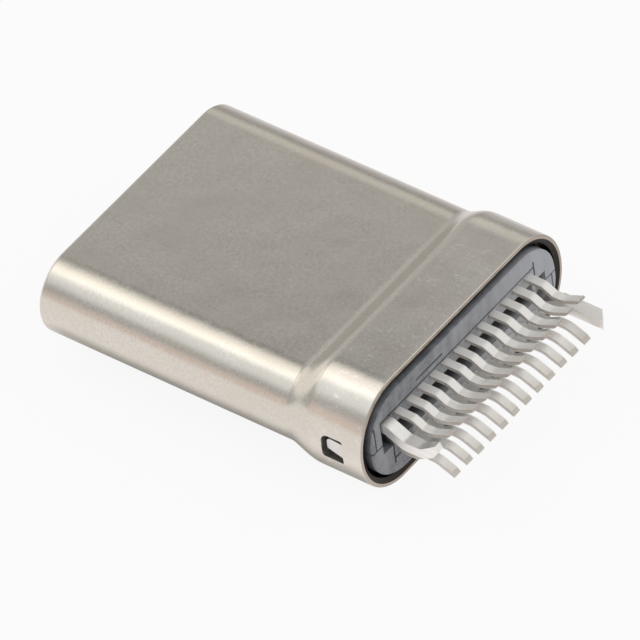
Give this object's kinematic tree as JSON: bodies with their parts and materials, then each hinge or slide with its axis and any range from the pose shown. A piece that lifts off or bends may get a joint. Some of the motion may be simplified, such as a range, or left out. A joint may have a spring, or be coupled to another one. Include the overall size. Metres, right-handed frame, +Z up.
{
  "type": "usb-c plug",
  "caption": "Reversible cable plug: flared drawn metal shell with a full-round nose, spring contacts inside, and two rows of solder tails that straddle a board edge.",
  "frame": {"origin": "middle of the mating face at the mouth of the shell, on the plug's long axis", "axes": "+Y from the mouth to the solder tails, +X across the width, +Z up, square to the two contact rows"},
  "size_m": [0.0086, 0.0124, 0.0034],
  "materials": {
    "plated_shell": "satin nickel plating on drawn stainless steel",
    "grey_resin": "moulded liquid crystal polymer, matt",
    "latch_steel": "stamped stainless steel, bright tin on the tails",
    "spring_steel": "thin stamped stainless spring strip",
    "contact_alloy": "stamped copper alloy, matt tin on the tails, gold at the touch points"
  },
  "bodies": {
    "root": {"shell": "plated_shell", "front_housing": "grey_resin", "upper_carrier": "grey_resin", "lower_carrier": "grey_resin", "latch_plate": "latch_steel", "emi_spring_top": "spring_steel", "emi_spring_bottom": "spring_steel", "contact_upper_01": "contact_alloy", "contact_upper_02": "contact_alloy", "contact_upper_03": "contact_alloy", "contact_upper_04": "contact_alloy", "contact_upper_05": "contact_alloy", "contact_upper_06": "contact_alloy", "contact_upper_07": "contact_alloy", "contact_upper_08": "contact_alloy", "contact_upper_09": "contact_alloy", "contact_upper_10": "contact_alloy", "contact_upper_11": "contact_alloy", "contact_upper_12": "contact_alloy", "contact_lower_01": "contact_alloy", "contact_lower_02": "contact_alloy", "contact_lower_03": "contact_alloy", "contact_lower_04": "contact_alloy", "contact_lower_05": "contact_alloy", "contact_lower_06": "contact_alloy", "contact_lower_07": "contact_alloy", "contact_lower_08": "contact_alloy", "contact_lower_09": "contact_alloy", "contact_lower_10": "contact_alloy", "contact_lower_11": "contact_alloy", "contact_lower_12": "contact_alloy"}
  },
  "joints": []
}
